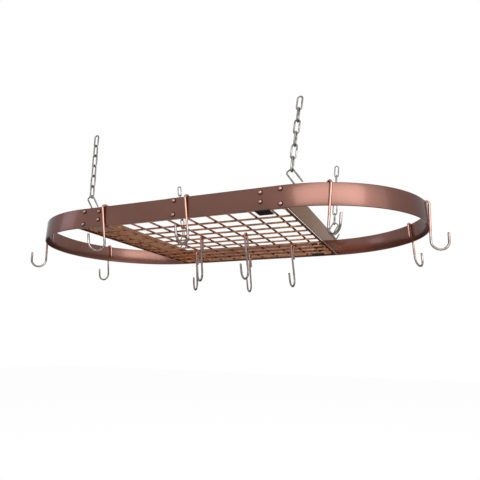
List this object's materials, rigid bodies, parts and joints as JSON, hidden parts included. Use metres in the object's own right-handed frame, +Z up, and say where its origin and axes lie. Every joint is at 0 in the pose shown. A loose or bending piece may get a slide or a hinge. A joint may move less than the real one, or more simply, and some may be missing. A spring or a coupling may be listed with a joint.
{
  "type": "hanging pot rack",
  "caption": "Oval hanging pot rack: a riveted strip band with crossbars, a lift-out wire grid, chains on S-hooks and loose pot hooks.",
  "frame": {"origin": "midway between the four points where the top links of the chains bear on their ceiling hooks", "axes": "+X along the rack, +Y across it (away from the picture's near side), +Z up"},
  "size_m": [1.1498, 0.6215, 0.4059],
  "materials": {
    "copper_lacquer": "satin-gloss copper lacquer on steel strip",
    "copper_rivet": "the band's lacquer over dome-headed steel rivets",
    "bracket_bronze": "dark bronze lacquer",
    "grid_wire": "copper lacquer on welded steel wire",
    "chain_steel": "dark plated steel, dull",
    "hook_steel": "polished dark steel"
  },
  "bodies": {
    "ceiling_links": {"top_link_near_left": "chain_steel", "top_link_near_right": "chain_steel", "top_link_far_left": "chain_steel", "top_link_far_right": "chain_steel"},
    "rack": {"band": "copper_lacquer", "seam_rivets": "copper_rivet", "crossbar_left": "copper_lacquer", "crossbar_right": "copper_lacquer", "crossbar_rivets": "copper_rivet", "grid_bracket_near_left": "bracket_bronze", "grid_bracket_near_right": "bracket_bronze", "grid_bracket_far_left": "bracket_bronze", "grid_bracket_far_right": "bracket_bronze", "bracket_rivets": "copper_rivet"},
    "grid": {"grid_rim": "grid_wire", "grid_long_wires": "grid_wire", "grid_cross_wires": "grid_wire"},
    "chain_near_left": {"chain_near_left": "chain_steel"},
    "s_hook_near_left": {"s_hook_near_left": "chain_steel"},
    "chain_near_right": {"chain_near_right": "chain_steel"},
    "s_hook_near_right": {"s_hook_near_right": "chain_steel"},
    "chain_far_left": {"chain_far_left": "chain_steel"},
    "s_hook_far_left": {"s_hook_far_left": "chain_steel"},
    "chain_far_right": {"chain_far_right": "chain_steel"},
    "s_hook_far_right": {"s_hook_far_right": "chain_steel"},
    "pot_hook_left_end": {"pot_hook_left_end": "hook_steel"},
    "pot_hook_near_left": {"pot_hook_near_left": "hook_steel"},
    "pot_hook_far_left": {"pot_hook_far_left": "hook_steel"},
    "pot_hook_near_middle": {"pot_hook_near_middle": "hook_steel"},
    "pot_hook_near_right": {"pot_hook_near_right": "hook_steel"},
    "pot_hook_far_right": {"pot_hook_far_right": "hook_steel"},
    "pot_hook_right_end": {"pot_hook_right_end": "hook_steel"},
    "pot_hook_centre_left": {"pot_hook_centre_left": "hook_steel"},
    "pot_hook_rear_left": {"pot_hook_rear_left": "hook_steel"},
    "pot_hook_centre_right": {"pot_hook_centre_right": "hook_steel"},
    "pot_hook_rear_middle": {"pot_hook_rear_middle": "hook_steel"},
    "pot_hook_rear_right": {"pot_hook_rear_right": "hook_steel"}
  },
  "joints": [
    {"name": "rack_sway", "type": "slide", "parent": "ceiling_links", "child": "rack", "axis": [1, 0, 0], "range_m": [-0.01, 0.01], "stiffness_N_per_m": 280},
    {"name": "chain_swing_near_left", "type": "hinge", "parent": "ceiling_links", "child": "chain_near_left", "pos_m": [-0.29334, -0.23687, -0.03155], "axis": [0, 1, 0], "range_deg": [-2.88, 2.88]},
    {"name": "s_hook_swing_near_left", "type": "hinge", "parent": "rack", "child": "s_hook_near_left", "pos_m": [-0.2762, -0.2502, -0.23769], "axis": [0, 1, 0], "range_deg": [-2.88, 2.88]},
    {"name": "chain_swing_near_right", "type": "hinge", "parent": "ceiling_links", "child": "chain_near_right", "pos_m": [0.29334, -0.23687, -0.03155], "axis": [0, 1, 0], "range_deg": [-2.88, 2.88]},
    {"name": "s_hook_swing_near_right", "type": "hinge", "parent": "rack", "child": "s_hook_near_right", "pos_m": [0.2762, -0.2502, -0.23769], "axis": [0, 1, 0], "range_deg": [-2.88, 2.88]},
    {"name": "chain_swing_far_left", "type": "hinge", "parent": "ceiling_links", "child": "chain_far_left", "pos_m": [-0.29334, 0.23687, -0.03155], "axis": [0, 1, 0], "range_deg": [-2.88, 2.88]},
    {"name": "s_hook_swing_far_left", "type": "hinge", "parent": "rack", "child": "s_hook_far_left", "pos_m": [-0.2762, 0.2502, -0.23769], "axis": [0, 1, 0], "range_deg": [-2.88, 2.88]},
    {"name": "chain_swing_far_right", "type": "hinge", "parent": "ceiling_links", "child": "chain_far_right", "pos_m": [0.29334, 0.23687, -0.03155], "axis": [0, 1, 0], "range_deg": [-2.88, 2.88]},
    {"name": "s_hook_swing_far_right", "type": "hinge", "parent": "rack", "child": "s_hook_far_right", "pos_m": [0.2762, 0.2502, -0.23769], "axis": [0, 1, 0], "range_deg": [-2.88, 2.88]},
    {"name": "grid_lift", "type": "slide", "parent": "rack", "child": "grid", "axis": [0, 0, 1], "range_m": [0, 0.035]},
    {"name": "hook_swing_left_end", "type": "hinge", "parent": "rack", "child": "pot_hook_left_end", "pos_m": [-0.5086, -0.15041, -0.237], "axis": [-0.5265, 0.8502, 0], "range_deg": [0, 2]},
    {"name": "hook_slide_near_left", "type": "slide", "parent": "rack", "child": "pot_hook_near_left", "axis": [1, 0, 0], "range_m": [0, 0.14]},
    {"name": "hook_swing_far_left", "type": "hinge", "parent": "rack", "child": "pot_hook_far_left", "pos_m": [-0.5159, 0.13793, -0.23694], "axis": [0.4828, 0.8757, 0], "range_deg": [0, 1.25]},
    {"name": "hook_swing_near_middle", "type": "hinge", "parent": "rack", "child": "pot_hook_near_middle", "pos_m": [0.035, -0.2857, -0.23706], "axis": [-1, 0, 0], "range_deg": [0, 7]},
    {"name": "hook_swing_near_right", "type": "hinge", "parent": "rack", "child": "pot_hook_near_right", "pos_m": [0.3612, -0.26927, -0.23694], "axis": [-0.9425, -0.3343, 0], "range_deg": [0, 1.25]},
    {"name": "hook_swing_far_right", "type": "hinge", "parent": "rack", "child": "pot_hook_far_right", "pos_m": [0.5027, 0.15955, -0.23694], "axis": [0.5584, -0.8295, 0], "range_deg": [0, 1.25]},
    {"name": "hook_swing_right_end", "type": "hinge", "parent": "rack", "child": "pot_hook_right_end", "pos_m": [0.5467, -0.05161, -0.23703], "axis": [-0.1806, -0.9835, 0], "range_deg": [0, 2.75]},
    {"name": "hook_swing_centre_left", "type": "hinge", "parent": "grid", "child": "pot_hook_centre_left", "pos_m": [-0.0332, -0.07361, -0.28514], "axis": [1, 0, 0], "range_deg": [-15, 15]},
    {"name": "hook_swing_rear_left", "type": "hinge", "parent": "grid", "child": "pot_hook_rear_left", "pos_m": [-0.1497, 0.12268, -0.28514], "axis": [1, 0, 0], "range_deg": [-15, 15]},
    {"name": "hook_swing_centre_right", "type": "hinge", "parent": "grid", "child": "pot_hook_centre_right", "pos_m": [0.0981, -0.07361, -0.28514], "axis": [1, 0, 0], "range_deg": [-15, 15]},
    {"name": "hook_swing_rear_middle", "type": "hinge", "parent": "grid", "child": "pot_hook_rear_middle", "pos_m": [-0.0034, 0.22083, -0.28514], "axis": [1, 0, 0], "range_deg": [-15, 15]},
    {"name": "hook_swing_rear_right", "type": "hinge", "parent": "grid", "child": "pot_hook_rear_right", "pos_m": [0.1695, 0.12268, -0.28514], "axis": [1, 0, 0], "range_deg": [-15, 15]}
  ],
  "couplings": [
    {"joint": "chain_swing_near_left", "follows": "rack_sway", "rad_per_m": -4.8511},
    {"joint": "s_hook_swing_near_left", "follows": "rack_sway", "rad_per_m": -4.8511},
    {"joint": "chain_swing_near_right", "follows": "rack_sway", "rad_per_m": -4.8511},
    {"joint": "s_hook_swing_near_right", "follows": "rack_sway", "rad_per_m": -4.8511},
    {"joint": "chain_swing_far_left", "follows": "rack_sway", "rad_per_m": -4.8511},
    {"joint": "s_hook_swing_far_left", "follows": "rack_sway", "rad_per_m": -4.8511},
    {"joint": "chain_swing_far_right", "follows": "rack_sway", "rad_per_m": -4.8511},
    {"joint": "s_hook_swing_far_right", "follows": "rack_sway", "rad_per_m": -4.8511}
  ]
}
